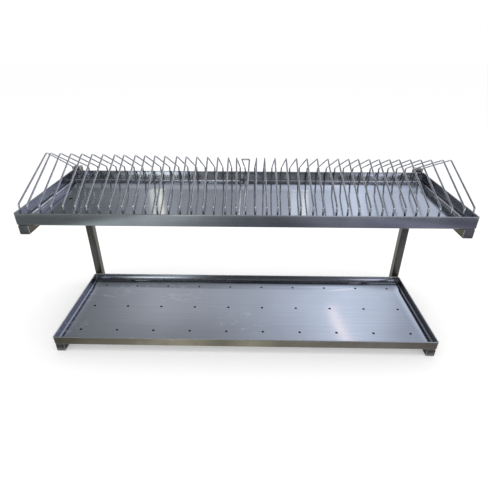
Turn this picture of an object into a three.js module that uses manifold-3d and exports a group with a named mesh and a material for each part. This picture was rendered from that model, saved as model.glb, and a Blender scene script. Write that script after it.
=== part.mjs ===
// Two-tier stainless dish drying shelf with two lift-out wire plate racks.
// Millimetres, +Z up. The origin is the middle of the footprint, at the underside of the lower arms.
// The front is towards -Y, and left and right are as seen from the front.

import * as THREE from 'three';
import { mergeVertices } from 'three/addons/utils/BufferGeometryUtils.js';
import Module from 'manifold-3d';

const wasm = await Module();
wasm.setup();

// Trays
const trayWidth = 1000;
const trayDepth = 305;
const upperTrayHeight = 29;
const lowerTrayHeight = 25;
const sheetThickness = 1.2;
const trayCornerRadius = 5;
const hemThickness = 3; // rim folded over to the inside
const hemHeight = 7;
const rimSpacing = 351; // lower rim to upper rim

// Drain holes
const drainDiameter = 7;
const drainColumns = 10;
const drainRows = 3;
const drainSideShare = 0.047; // first column, as a share of the tray's width
const drainFrontShare = 0.193; // first row, as a share of the tray's depth
const drainRearShare = 0.115;
const outletDiameter = 11; // the upper tray has one hole only
const outletSideShare = 0.054;
const outletDepthShare = 0.515;

// Side frames of square tube
const tubeSize = 22;
const tubeWall = 1.2;
const tubeCornerRadius = 2;
const tubeInset = 3; // outer face of the tube, in from the tray's end
const postRise = 8; // post top above the upper rim
const capThickness = 2;
const capBevel = 0.4;

// Weld beads between the tubes and the trays
const weldLeg = 3;
const weldRoot = 0.9; // how deep a bead runs into the tube's wall
const weldBulgeShare = 0.8;
const rimWeldLength = 16;
const armWeldLength = 30;
const armWeldShares = [0.06, 0.5, 0.94]; // along the tray's depth

// Plate racks
const rackClearance = 2; // rack frame to the tray's hem, at the sides
const rackEndClearance = 2; // the same, at front and back
const rackGap = 8; // between the two racks
const leftRackShare = 0.493; // of the width that the two racks share
const leftHoopCount = 20;
const rightHoopCount = 21;
const railDiameter = 4;
const railCornerRadius = 4;
const wireDiameter = 3;
const seatGap = 0.3; // between pieces that rest on or against each other
const endGap = 21.5; // from each end hoop to its neighbour
const shoulderRise = 15.5; // lower bends of a hoop above the upper rim
const shoulderLean = 1.5;
const shoulderRadius = 5;
const peakRise = 84; // where a hoop's two slopes would meet, above the upper rim
const peakRadius = 12;
const skewedTopWidth = 18; // the right rack's first hoop is twisted, so its top runs sideways
const skewedTopDrop = 4;
const skewedBendRadius = 3;
const skewedClearance = 1.5; // to the left rack's way up
const skewedRearShare = 0.6; // of its top's sideways reach, at the rear bend

// Fineness and the overrun of cuts
const cornerSteps = 2; // an arc has twice as many edges
const bendSteps = 3;
const holeSides = 10;
const wireSides = 6;
const railSides = 8;
const overrun = 1;

// Places worked out from the sizes above
const totalDepth = trayDepth + tubeSize;
const trayFront = -totalDepth / 2;
const trayRear = trayFront + trayDepth;
const trayMiddle = (trayFront + trayRear) / 2;
const frameRear = totalDepth / 2;
const lowerTrayBottom = tubeSize;
const lowerRim = lowerTrayBottom + lowerTrayHeight;
const upperRim = lowerRim + rimSpacing;
const upperTrayBottom = upperRim - upperTrayHeight;
const upperFloor = upperTrayBottom + sheetThickness;
const tubeCentre = trayWidth / 2 - tubeInset - tubeSize / 2;
const postTop = upperRim + postRise;
const railRadius = railDiameter / 2;
const wireRadius = wireDiameter / 2;
const railHeight = upperFloor + seatGap + railRadius;
const wireFromRail = railRadius + wireRadius + seatGap;

const steels = {
  tray: { color: 0x84888f, roughness: 0.32, metalness: 1 },
  tube: { color: 0x6d6c69, roughness: 0.4, metalness: 1 },
  cap: { color: 0x62656a, roughness: 0.45, metalness: 1 },
  wire: { color: 0xc4c6cc, roughness: 0.22, metalness: 1 },
};

const group = new THREE.Group();

function addPiece(name, geometry, steel) {
  const mesh = new THREE.Mesh(geometry, new THREE.MeshStandardMaterial(steels[steel]));
  mesh.name = name;
  group.add(mesh);
  return mesh;
}

// Outlines and solids

function roundedRectangle(width, depth, radius, outline = new THREE.Shape()) {
  const x = width / 2 - radius;
  const y = depth / 2 - radius;
  outline.absarc(x, y, radius, 0, Math.PI / 2);
  outline.absarc(-x, y, radius, Math.PI / 2, Math.PI);
  outline.absarc(-x, -y, radius, Math.PI, Math.PI * 1.5);
  outline.absarc(x, -y, radius, Math.PI * 1.5, Math.PI * 2);
  outline.closePath();
  return outline;
}

function slab(outline, low, high) {
  const geometry = new THREE.ExtrudeGeometry(outline, {
    depth: high - low,
    bevelEnabled: false,
    curveSegments: cornerSteps,
  });
  return geometry.translate(0, 0, low);
}

function toSolid(geometry) {
  geometry.deleteAttribute('normal');
  geometry.deleteAttribute('uv');
  const merged = mergeVertices(geometry);
  return new wasm.Manifold(new wasm.Mesh({
    numProp: 3,
    vertProperties: merged.attributes.position.array,
    triVerts: Uint32Array.from(merged.index.array),
  }));
}

function toGeometry(solid) {
  const mesh = solid.getMesh();
  const geometry = new THREE.BufferGeometry();
  geometry.setAttribute('position', new THREE.BufferAttribute(mesh.vertProperties, 3));
  geometry.setIndex(new THREE.BufferAttribute(mesh.triVerts, 1));
  const faceted = geometry.toNonIndexed();
  faceted.computeVertexNormals();
  return faceted;
}

// Trays of folded sheet, with the rim hemmed inwards

function drainHole(x, y, diameter) {
  const radius = diameter / 2;
  const hole = new THREE.CylinderGeometry(radius, radius, sheetThickness + 2 * overrun, holeSides);
  hole.rotateX(Math.PI / 2);
  hole.translate(x, y, sheetThickness / 2);
  return toSolid(hole);
}

function trayShell(height, holes) {
  const inside = (wall) => roundedRectangle(
    trayWidth - 2 * wall,
    trayDepth - 2 * wall,
    Math.max(trayCornerRadius - wall, sheetThickness),
  );
  const block = toSolid(slab(inside(0), 0, height));
  const cavity = toSolid(slab(inside(sheetThickness), sheetThickness, height - hemHeight));
  const mouth = toSolid(slab(inside(hemThickness), height - hemHeight - overrun, height + overrun));
  let shell = block.subtract(cavity).subtract(mouth);
  for (const { x, y, diameter } of holes) {
    shell = shell.subtract(drainHole(x, y, diameter));
  }
  return toGeometry(shell);
}

function lowerTrayHoles() {
  const holes = [];
  const firstX = (drainSideShare - 0.5) * trayWidth;
  const firstY = (drainFrontShare - 0.5) * trayDepth;
  const lastY = (0.5 - drainRearShare) * trayDepth;
  for (let row = 0; row < drainRows; row += 1) {
    for (let column = 0; column < drainColumns; column += 1) {
      holes.push({
        x: THREE.MathUtils.lerp(firstX, -firstX, column / (drainColumns - 1)),
        y: THREE.MathUtils.lerp(firstY, lastY, row / (drainRows - 1)),
        diameter: drainDiameter,
      });
    }
  }
  return holes;
}

function buildTrays() {
  const outlet = {
    x: (outletSideShare - 0.5) * trayWidth,
    y: (outletDepthShare - 0.5) * trayDepth,
    diameter: outletDiameter,
  };
  const upper = addPiece('upper_tray', trayShell(upperTrayHeight, [outlet]), 'tray');
  upper.position.set(0, trayMiddle, upperTrayBottom);
  const lower = addPiece('lower_tray', trayShell(lowerTrayHeight, lowerTrayHoles()), 'tray');
  lower.position.set(0, trayMiddle, lowerTrayBottom);
}

// Side frames: lower arm, post and upper arm of square tube, with flat end caps.
// A tube runs along its own +Z, and its weld beads are part of it.

function tube(length) {
  const outline = roundedRectangle(tubeSize, tubeSize, tubeCornerRadius);
  const bore = tubeSize - 2 * tubeWall;
  outline.holes.push(roundedRectangle(bore, bore, tubeCornerRadius - tubeWall, new THREE.Path()));
  return slab(outline, 0, length);
}

// A rounded fillet along Z, which spreads towards +X and +Y from the edge that it fills
function weldBead(length) {
  const bulge = weldLeg * weldBulgeShare;
  const section = new THREE.Shape();
  section.moveTo(-weldRoot, 0);
  section.lineTo(weldLeg, 0);
  section.quadraticCurveTo(bulge, bulge, 0, weldLeg);
  section.lineTo(-weldRoot, weldLeg);
  section.closePath();
  return slab(section, -length / 2, length / 2);
}

function weldedTube(length, beads) {
  return toGeometry(beads.reduce((joined, bead) => joined.add(toSolid(bead)), toSolid(tube(length))));
}

// Beads under a tray, along the top of the arm's inner face
function buildArm(name, length, inward) {
  const beads = armWeldShares.map((share) => (
    weldBead(armWeldLength)
      .rotateY(inward > 0 ? 0 : Math.PI)
      .translate((inward * tubeSize) / 2, -tubeSize / 2, share * trayDepth - capThickness)
  ));
  return addPiece(name, weldedTube(length, beads), 'tube');
}

// Beads on the rims of both trays, across the front of the post
function buildPost(name) {
  const beads = [lowerRim, upperRim].map((rim) => (
    weldBead(rimWeldLength)
      .rotateX(Math.PI / 2)
      .rotateZ(-Math.PI / 2)
      .translate(0, -tubeSize / 2, rim - tubeSize)
  ));
  return addPiece(name, weldedTube(postTop - capThickness - tubeSize, beads), 'tube');
}

function endCap() {
  const face = tubeSize - 2 * capBevel;
  const geometry = new THREE.ExtrudeGeometry(roundedRectangle(face, face, tubeCornerRadius - capBevel), {
    depth: capThickness - 2 * capBevel,
    bevelThickness: capBevel,
    bevelSize: capBevel,
    bevelSegments: 1,
    curveSegments: cornerSteps,
  });
  return geometry.translate(0, 0, capBevel);
}

// Turns a piece that runs along its own +Z, so that it runs towards the rear with its -Y side up
function layBackwards(mesh, x, y, z) {
  mesh.rotation.x = -Math.PI / 2;
  mesh.position.set(x, y, z);
}

function buildSideFrame(side, inward) {
  const x = -inward * tubeCentre;
  const lowerAxis = tubeSize / 2;
  const upperAxis = upperTrayBottom - tubeSize / 2;
  const armFront = trayFront + capThickness;
  const postAxis = trayRear + tubeSize / 2;

  const lowerArm = buildArm(`${side}_lower_arm`, totalDepth - 2 * capThickness, inward);
  layBackwards(lowerArm, x, armFront, lowerAxis);
  const upperArm = buildArm(`${side}_upper_arm`, trayDepth - capThickness, inward);
  layBackwards(upperArm, x, armFront, upperAxis);
  buildPost(`${side}_post`).position.set(x, postAxis, tubeSize);

  layBackwards(addPiece(`${side}_lower_front_cap`, endCap(), 'cap'), x, trayFront, lowerAxis);
  layBackwards(addPiece(`${side}_lower_rear_cap`, endCap(), 'cap'), x, frameRear - capThickness, lowerAxis);
  layBackwards(addPiece(`${side}_upper_front_cap`, endCap(), 'cap'), x, trayFront, upperAxis);
  addPiece(`${side}_post_cap`, endCap(), 'cap').position.set(x, postAxis, postTop - capThickness);
}

// Bent wire: a path that steps from one given point to the next

class WirePath extends THREE.Curve {
  constructor(points, closed = false) {
    super();
    this.points = points;
    this.closed = closed;
  }

  pointAtStep(step) {
    const count = this.points.length;
    return this.points[this.closed ? (step + count) % count : THREE.MathUtils.clamp(step, 0, count - 1)];
  }

  get steps() {
    return this.closed ? this.points.length : this.points.length - 1;
  }

  getPoint(share, target = new THREE.Vector3()) {
    const place = share * this.steps;
    const step = Math.min(Math.floor(place), this.steps - 1);
    return target.lerpVectors(this.pointAtStep(step), this.pointAtStep(step + 1), place - step);
  }

  getPointAt(share, target) {
    return this.getPoint(share, target);
  }

  getTangentAt(share, target = new THREE.Vector3()) {
    const step = Math.round(share * this.steps);
    const here = this.pointAtStep(step);
    const before = this.pointAtStep(step - 1).clone().sub(here).negate().normalize();
    const after = this.pointAtStep(step + 1).clone().sub(here).normalize();
    return target.copy(before).add(after).normalize();
  }
}

// Replaces a corner by an arc that is tangent to both of its sides
function bendCorner(before, corner, after, radius) {
  const towardsBefore = before.clone().sub(corner).normalize();
  const towardsAfter = after.clone().sub(corner).normalize();
  const half = towardsBefore.angleTo(towardsAfter) / 2;
  const middle = towardsBefore.clone().add(towardsAfter).normalize();
  const centre = corner.clone().addScaledVector(middle, radius / Math.sin(half));
  const reach = radius / Math.tan(half);
  const start = corner.clone().addScaledVector(towardsBefore, reach).sub(centre);
  const axis = towardsAfter.clone().cross(towardsBefore).normalize();
  const turn = Math.PI - 2 * half;
  return Array.from({ length: bendSteps + 1 }, (unused, step) => (
    start.clone().applyAxisAngle(axis, (turn * step) / bendSteps).add(centre)
  ));
}

function hoopWire(corners, radii) {
  const last = corners.length - 1;
  const points = corners.flatMap((corner, index) => (
    index === 0 || index === last
      ? [corner]
      : bendCorner(corners[index - 1], corner, corners[index + 1], radii[index - 1])
  ));
  const path = new WirePath(points);
  const section = new THREE.Shape();
  section.absarc(0, 0, wireRadius, 0, Math.PI * 2);
  return new THREE.ExtrudeGeometry(section, {
    steps: path.steps,
    extrudePath: path,
    curveSegments: wireSides / 2,
  });
}

function railLoop(width, depth) {
  const x = width / 2;
  const y = depth / 2;
  const corners = [[-x, -y], [x, -y], [x, y], [-x, y]].map(([u, v]) => new THREE.Vector3(u, v, 0));
  const points = corners.flatMap((corner, index) => (
    bendCorner(corners[(index + 3) % 4], corner, corners[(index + 1) % 4], railCornerRadius)
  ));
  const path = new WirePath(points, true);
  const loop = new THREE.TubeGeometry(path, path.steps, railRadius, railSides, true);
  loop.deleteAttribute('normal');
  loop.deleteAttribute('uv');
  return mergeVertices(loop);
}

// Plate racks: a rail loop that lies in the tray, and a hoop for each plate to lean on

const mouthWidth = trayWidth - 2 * hemThickness - 2 * rackClearance;
const sharedWidth = mouthWidth - rackGap;
const rackFront = trayFront + hemThickness + rackEndClearance;
const rackRear = trayRear - hemThickness - rackEndClearance;
const footFront = rackFront + railRadius + wireFromRail;
const footRear = rackRear - railRadius - wireFromRail;
const footHeight = upperFloor + seatGap;
const shoulderHeight = upperRim + shoulderRise;
const peakHeight = upperRim + peakRise - wireRadius;

function hoopPlaces(first, last, count) {
  const pitch = (last - first - 2 * endGap) / (count - 3);
  return Array.from({ length: count }, (unused, index) => {
    if (index === 0) return first;
    if (index === count - 1) return last;
    return first + endGap + (index - 1) * pitch;
  });
}

function plainHoop() {
  return hoopWire([
    new THREE.Vector3(0, footFront, footHeight),
    new THREE.Vector3(0, footFront + shoulderLean, shoulderHeight),
    new THREE.Vector3(0, trayMiddle, peakHeight),
    new THREE.Vector3(0, footRear - shoulderLean, shoulderHeight),
    new THREE.Vector3(0, footRear, footHeight),
  ], [shoulderRadius, peakRadius, shoulderRadius]);
}

function skewedHoop(leftEnd) {
  const top = peakHeight - skewedTopDrop;
  return hoopWire([
    new THREE.Vector3(0, footFront, footHeight),
    new THREE.Vector3(0, footFront + shoulderLean, shoulderHeight),
    new THREE.Vector3(leftEnd + skewedTopWidth, trayMiddle, top),
    new THREE.Vector3(leftEnd, trayMiddle, top),
    new THREE.Vector3(leftEnd * skewedRearShare, footRear - shoulderLean, shoulderHeight),
    new THREE.Vector3(0, footRear, footHeight),
  ], [shoulderRadius, skewedBendRadius, skewedBendRadius, shoulderRadius]);
}

function buildRack(side, left, right, hoopCount) {
  const frame = addPiece(
    `${side}_rack_frame`,
    railLoop(right - left - railDiameter, rackRear - rackFront - railDiameter),
    'wire',
  );
  frame.position.set((left + right) / 2, (rackFront + rackRear) / 2, railHeight);

  const fromEdge = railRadius + wireFromRail;
  hoopPlaces(left + fromEdge, right - fromEdge, hoopCount).forEach((x, index) => {
    const skewed = side === 'right' && index === 0;
    const leftEnd = left - rackGap + skewedClearance + wireRadius - x;
    const number = String(index + 1).padStart(2, '0');
    const hoop = addPiece(`${side}_hoop_${number}`, skewed ? skewedHoop(leftEnd) : plainHoop(), 'wire');
    hoop.position.x = x;
  });
}

buildTrays();
buildSideFrame('left', 1);
buildSideFrame('right', -1);
const leftEdge = -mouthWidth / 2;
const divide = leftEdge + sharedWidth * leftRackShare;
buildRack('left', leftEdge, divide, leftHoopCount);
buildRack('right', divide + rackGap, mouthWidth / 2, rightHoopCount);

export default group;
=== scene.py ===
import math
import random

import bmesh
import bpy
from mathutils import Matrix, Vector, noise as field
from mathutils.geometry import delaunay_2d_cdt


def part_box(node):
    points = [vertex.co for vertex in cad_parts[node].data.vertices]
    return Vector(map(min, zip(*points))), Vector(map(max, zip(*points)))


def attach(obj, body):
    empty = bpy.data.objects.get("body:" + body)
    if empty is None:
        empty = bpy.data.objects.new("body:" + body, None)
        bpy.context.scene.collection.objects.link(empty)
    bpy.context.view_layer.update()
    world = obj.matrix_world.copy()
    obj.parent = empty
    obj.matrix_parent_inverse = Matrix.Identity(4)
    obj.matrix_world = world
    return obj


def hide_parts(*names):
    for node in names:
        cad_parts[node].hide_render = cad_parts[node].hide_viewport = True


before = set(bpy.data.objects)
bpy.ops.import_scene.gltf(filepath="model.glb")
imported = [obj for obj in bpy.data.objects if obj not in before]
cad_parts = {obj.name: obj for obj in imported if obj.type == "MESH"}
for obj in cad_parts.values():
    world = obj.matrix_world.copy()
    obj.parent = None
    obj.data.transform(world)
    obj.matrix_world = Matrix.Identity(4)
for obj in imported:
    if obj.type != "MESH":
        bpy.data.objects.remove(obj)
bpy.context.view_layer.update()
print("frame loaded:", len(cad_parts), "nodes")


# Camera: fitted to the corners of both trays

cameraView = {
    "place": (0.01539, -0.90322, 0.72962),
    "turnDegrees": -1.189,
    "downDegrees": 28.774,
    "rollDegrees": -0.012,
    "lens": 27.714,
    "sensor": 36.0,
}


def makeCamera():
    turn = math.radians(cameraView["turnDegrees"])
    down = math.radians(cameraView["downDegrees"])
    roll = math.radians(cameraView["rollDegrees"])
    forward = Vector((math.sin(turn) * math.cos(down), math.cos(turn) * math.cos(down), -math.sin(down)))
    level = Vector((math.cos(turn), -math.sin(turn), 0.0))
    upright = level.cross(forward)
    right = level * math.cos(roll) + upright * math.sin(roll)
    up = upright * math.cos(roll) - level * math.sin(roll)
    lensData = bpy.data.cameras.new("viewCamera")
    lensData.lens = cameraView["lens"]
    lensData.sensor_width = cameraView["sensor"]
    camera = bpy.data.objects.new("viewCamera", lensData)
    turned = Matrix((right, up, -forward)).transposed()
    camera.matrix_world = Matrix.Translation(cameraView["place"]) @ turned.to_4x4()
    bpy.context.scene.collection.objects.link(camera)
    bpy.context.scene.camera = camera


makeCamera()
print("camera placed")


# Node helpers

def fill(tree, node, inputs):
    for key, value in inputs.items():
        socket = node.inputs[key]
        if isinstance(value, bpy.types.NodeSocket):
            tree.links.new(value, socket)
        else:
            socket.default_value = (*value, 1.0) if socket.type == "RGBA" else value


def addNode(tree, kind, inputs=None, **settings):
    made = tree.nodes.new(kind)
    for key, value in settings.items():
        setattr(made, key, value)
    fill(tree, made, inputs or {})
    return made


def calc(tree, operation, *values, clamp=False):
    made = addNode(tree, "ShaderNodeMath", dict(enumerate(values)), operation=operation, use_clamp=clamp)
    return made.outputs[0]


def times(tree, product, *others):
    for other in others:
        product = calc(tree, "MULTIPLY", product, other)
    return product


def fade(tree, value, fromLow, fromHigh, toLow=0.0, toHigh=1.0):
    made = addNode(tree, "ShaderNodeMapRange", {
        "Value": value, "From Min": fromLow, "From Max": fromHigh, "To Min": toLow, "To Max": toHigh,
    }, interpolation_type="SMOOTHSTEP")
    return made.outputs["Result"]


def fadeOut(tree, value, fromLow, fromHigh):
    return fade(tree, value, fromLow, fromHigh, 1.0, 0.0)


def around(tree, value, middle, reach):
    return calc(tree, "MULTIPLY_ADD", calc(tree, "SUBTRACT", value, 0.5), 2 * reach, middle)


def blendColours(tree, share, first, second, mode="MIX"):
    made = addNode(tree, "ShaderNodeMix", {0: share, 6: first, 7: second}, data_type="RGBA", blend_type=mode)
    return made.outputs[2]


def blendValues(tree, share, first, second):
    return addNode(tree, "ShaderNodeMix", {0: share, 2: first, 3: second}).outputs[0]


def shaded(tree, colour, brightness):
    tone = addNode(tree, "ShaderNodeCombineColor", {0: brightness, 1: brightness, 2: brightness})
    return blendColours(tree, 1.0, colour, tone.outputs[0], "MULTIPLY")


def between(value, low, high):
    return min(1.0, max(0.0, (value - low) / (high - low)))


def levelRamp(tree, value, span, levels, tints, shareAt):
    made = addNode(tree, "ShaderNodeValToRGB", {"Fac": calc(tree, "MULTIPLY_ADD", value, 1 / span, 0.5)})
    scale = made.color_ramp
    places = [place / span + 0.5 for place, _ in levels]
    scale.elements[0].position, scale.elements[1].position = places[0], places[-1]
    for place in places[1:-1]:
        scale.elements.new(place)
    for element, (place, level) in zip(scale.elements, levels):
        share = shareAt(place)
        pairs = zip(tints["leftTint"], tints["rightTint"])
        element.color = (*(level * (a * (1 - share) + b * share) for a, b in pairs), 1.0)
    return made.outputs["Color"]


def noise(tree, coordinates, stretch, detail=2.0, roughness=0.5, distortion=0.0):
    mapped = addNode(tree, "ShaderNodeMapping", {"Vector": coordinates, "Scale": stretch})
    made = addNode(tree, "ShaderNodeTexNoise", {
        "Vector": mapped.outputs[0], "Scale": 1.0, "Detail": detail,
        "Roughness": roughness, "Distortion": distortion,
    })
    return made.outputs["Fac"]


def patchy(tree, coordinates, stretch, span, shares=(0.0, 1.0), **kind):
    return fade(tree, noise(tree, coordinates, stretch, **kind), *span, *shares)


def parts(tree, vector):
    return tuple(addNode(tree, "ShaderNodeSeparateXYZ", {0: vector}).outputs)


def objectSpot(tree):
    return addNode(tree, "ShaderNodeTexCoord").outputs["Object"]


def bump(tree, height, distance, strength=1.0, normal=None):
    inputs = {"Strength": strength, "Distance": distance, "Height": height}
    if normal is not None:
        inputs["Normal"] = normal
    return addNode(tree, "ShaderNodeBump", inputs).outputs[0]


# Studio: white backdrop, pale floor, and a room of soft panels that only polished steel sees

studio = {  # angles in degrees: azimuth from +Y towards +X, and height above the horizon
    "floorHalf": 12.0,
    "floorColour": (0.86, 0.86, 0.86),
    "floorLift": 0.32,  # added to the lit floor for the camera and for polished metal
    "cardLift": 0.001,
    "diffuseSky": 0.78,
    "whiteEnd": (11.0, 16.5),  # between these heights the mirrored white gives way to the room
    "behind": (100, 130),  # between these azimuths lies the turn to what is behind the camera
    "behindDrop": 13.0,  # how much lower the white ends there
    "leftTint": (0.97, 1.0, 1.06),
    "rightTint": (0.93, 1.0, 1.16),
    "tintTurn": (-12.0, 12.0),
    "tintBack": 110,  # from here on, the right tint turns back into the left one
    "ceiling": 0.32,
    "ceilingEdge": (70.0, 86.0),
    "underSide": (0.478, 0.49),  # the patch in full shade under the shelf: from, to
    "underFront": (0.10, 0.13),
    "underRear": (0.155, 0.175),
    "underShade": 0.15,
}

roomBands = [  # heights at which a band takes over from the one below, and brightness by azimuth
    {"above": None, "levels": [
        (-110, 0.16), (-40, 0.13), (-25, 0.15), (-17.5, 0.40), (-14.5, 0.50), (-11.5, 0.37),
        (-1.5, 0.37), (1.5, 0.53), (10, 0.68), (16.5, 1.05), (19.5, 0.78), (26, 0.76), (36, 0.72),
        (60, 0.45), (110, 0.45)]},
    {"above": (23.5, 30.0), "levels": [
        (-110, 0.10), (-40, 0.12), (-26, 0.33), (-17, 0.59), (-9, 0.55), (1, 0.63),
        (9, 0.84), (16.5, 1.06), (23.5, 0.88), (28, 0.56), (60, 0.45), (110, 0.45)]},
    {"above": (37.5, 41.5), "levels": [
        (-110, 0.09), (-40, 0.10), (-26, 0.26), (-20, 0.32), (-8, 0.38), (2, 0.53),
        (10, 0.68), (17, 1.0), (20.5, 1.02), (28, 0.58), (42, 0.28), (110, 0.25)]},
    {"above": (50.0, 55.0), "levels": [
        (-110, 0.09), (-40, 0.10), (-26, 0.22), (0, 0.35), (25, 0.45), (60, 0.45), (110, 0.45)]},
]

roomBehind = {  # the same in every band: dim behind the camera, lit on both sides of it
    "left": [(-180, 0.15), (-176.5, 0.16), (-174.5, 0.25), (-173, 0.6), (-171.5, 1.2), (-169, 1.2),
             (-167.6, 0.7), (-166, 0.28), (-156, 0.18)],
    "right": [(150, 0.50), (160.5, 0.62), (165.3, 0.6), (169, 0.36), (173, 0.24), (176, 0.17), (180, 0.15)],
}

roomPanes = {
    "farPane": {"across": (-15.95, -15.25), "up": (18.6, 26.0), "soft": 0.15,
                "colour": (1.15, 1.17, 1.05), "share": 0.85},
    "nearPane": {"across": (-14.85, -14.1), "up": (18.6, 26.0), "soft": 0.15,
                 "colour": (1.5, 1.45, 1.25), "share": 1.0},
    "windowLeft": {"across": (6.2, 7.55), "up": (20.5, 25.0), "soft": 0.25,
                   "colour": (1.12, 1.2, 1.3), "share": 0.9},
    "windowRight": {"across": (8.0, 9.2), "up": (20.8, 25.0), "soft": 0.2,
                    "colour": (1.4, 1.42, 1.4), "share": 1.0},
    "slantedTube": {"across": (-0.75, 0.75), "up": (37.0, 43.5), "soft": 0.35, "lean": 0.97,
                    "start": (14.8, 37.2), "colour": (1.9, 1.62, 1.6), "share": 0.9},
    "behindLeft": {"across": (-171.0, -166.0), "up": (-2.0, 12.0), "soft": 1.2,
                   "colour": (3.3, 3.55, 3.6), "share": 1.0},
    "behindRight": {"across": (162.5, 168.0), "up": (-2.0, 12.0), "soft": 1.2,
                    "colour": (2.3, 2.25, 2.8), "share": 1.0},
}


def seenRays(tree):
    path = addNode(tree, "ShaderNodeLightPath")
    return calc(tree, "MAXIMUM", path.outputs["Is Camera Ray"], path.outputs["Is Glossy Ray"])


def roomTintShare(azimuth):
    if azimuth > studio["tintBack"]:
        return (180 - azimuth) / (180 - studio["tintBack"])
    return between(azimuth, *studio["tintTurn"])


def paneMask(tree, azimuth, height, pane):
    across = azimuth
    if "lean" in pane:
        startAcross, startUp = pane["start"]
        drift = calc(tree, "MULTIPLY_ADD", height, pane["lean"], startAcross - startUp * pane["lean"])
        across = calc(tree, "SUBTRACT", azimuth, drift)
    soft = pane["soft"]
    mask = pane["share"]
    for value, (low, high) in ((across, pane["across"]), (height, pane["up"])):
        mask = times(tree, mask, fade(tree, value, low - soft, low + soft),
                     fadeOut(tree, value, high - soft, high + soft))
    return mask


def makeRoom(tree):
    x, y, z = parts(tree, addNode(tree, "ShaderNodeTexCoord").outputs["Generated"])
    azimuth = times(tree, calc(tree, "ARCTAN2", x, y), 180 / math.pi)
    height = times(tree, calc(tree, "ARCSINE", z), 180 / math.pi)
    room = None
    for band in roomBands:
        levels = roomBehind["left"] + band["levels"] + roomBehind["right"]
        shades = levelRamp(tree, azimuth, 360, levels, studio, roomTintShare)
        if room is not None:
            shades = blendColours(tree, fade(tree, height, *band["above"]), room, shades)
        room = shades
    for pane in roomPanes.values():
        room = blendColours(tree, paneMask(tree, azimuth, height, pane), room, pane["colour"])
    top = fade(tree, height, *studio["ceilingEdge"])
    room = blendColours(tree, top, room, (studio["ceiling"],) * 3)
    isCamera = addNode(tree, "ShaderNodeLightPath").outputs["Is Camera Ray"]
    isBehind = fade(tree, calc(tree, "ABSOLUTE", azimuth), *studio["behind"])
    raised = calc(tree, "MULTIPLY_ADD", isBehind, studio["behindDrop"], height)
    high = times(tree, fade(tree, raised, *studio["whiteEnd"]), calc(tree, "SUBTRACT", 1.0, isCamera))
    return blendColours(tree, high, (1.0, 1.0, 1.0), room)


def makeWorld():
    world = bpy.data.worlds.new("studioRoom")
    bpy.context.scene.world = world
    world.use_nodes = True
    tree = world.node_tree
    tree.nodes.clear()
    backdrop = addNode(tree, "ShaderNodeBackground", {"Color": makeRoom(tree), "Strength": 1.0})
    softLight = addNode(tree, "ShaderNodeBackground", {
        "Color": (1.0, 1.0, 1.0), "Strength": studio["diffuseSky"]})
    chosen = addNode(tree, "ShaderNodeMixShader", {
        0: seenRays(tree), 1: softLight.outputs[0], 2: backdrop.outputs[0]})
    addNode(tree, "ShaderNodeOutputWorld", {"Surface": chosen.outputs[0]})


def flatPlate(name, low, high, z):
    mesh = bpy.data.meshes.new(name)
    corners = [(low[0], low[1], z), (high[0], low[1], z), (high[0], high[1], z), (low[0], high[1], z)]
    mesh.from_pydata(corners, [], [(0, 1, 2, 3)])
    plate = bpy.data.objects.new(name, mesh)
    bpy.context.scene.collection.objects.link(plate)
    material = bpy.data.materials.new(name + "Paper")
    material.use_nodes = True
    material.node_tree.nodes.clear()
    mesh.materials.append(material)
    return plate, material.node_tree


def makeFloor():
    half = studio["floorHalf"]
    tree = flatPlate("studioFloor", (-half, -half), (half, half), 0)[1]
    x, y, _ = parts(tree, objectSpot(tree))
    under = times(tree, fadeOut(tree, calc(tree, "ABSOLUTE", x), *studio["underSide"]),
                  fadeOut(tree, times(tree, y, -1.0), *studio["underFront"]),
                  fadeOut(tree, y, *studio["underRear"]))
    uncovered = calc(tree, "SUBTRACT", 1.0, under)
    shade = shaded(tree, studio["floorColour"], blendValues(tree, under, 1.0, studio["underShade"]))
    paper = addNode(tree, "ShaderNodeBsdfDiffuse", {"Color": shade})
    lift = times(tree, seenRays(tree), uncovered, studio["floorLift"])
    glow = addNode(tree, "ShaderNodeEmission", {"Color": (1.0, 1.0, 1.0), "Strength": lift})
    both = addNode(tree, "ShaderNodeAddShader", {0: paper.outputs[0], 1: glow.outputs[0]})
    addNode(tree, "ShaderNodeOutputMaterial", {"Surface": both.outputs[0]})


darkCards = {  # lie on the floor before the shelf, only for the front walls to mirror
    "nearCard": {  # mirrored in the lower tray's front wall
        "halfWidth": 0.8, "front": -0.26, "rear": -0.172,
        "levels": [  # place in metres from the middle towards +X, brightness
            (-0.8, 0.16), (-0.48, 0.16), (-0.40, 0.30), (-0.32, 0.38), (-0.23, 0.53), (-0.15, 0.52),
            (-0.06, 0.38), (0.02, 0.47), (0.10, 0.34), (0.19, 0.36), (0.27, 0.27), (0.36, 0.29),
            (0.48, 0.23), (0.8, 0.22)],
        "leftTint": (1.06, 1.0, 0.79), "rightTint": (1.08, 1.0, 0.94), "tintTurn": (0.05, 0.4),
    },
    "farCard": {  # mirrored in the upper tray's
        "halfWidth": 1.6, "front": -1.9, "rear": -0.26,
        "levels": [
            (-1.4, 0.24), (-0.99, 0.27), (-0.78, 0.30), (-0.62, 0.86), (-0.42, 0.76), (-0.21, 0.46),
            (-0.02, 0.24), (0.18, 0.22), (0.37, 0.39), (0.57, 0.36), (0.76, 0.50), (0.96, 0.25),
            (1.4, 0.24)],
        "leftTint": (0.89, 1.0, 1.04), "rightTint": (0.96, 0.97, 1.32), "tintTurn": (-0.4, 0.6),
    },
}


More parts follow.
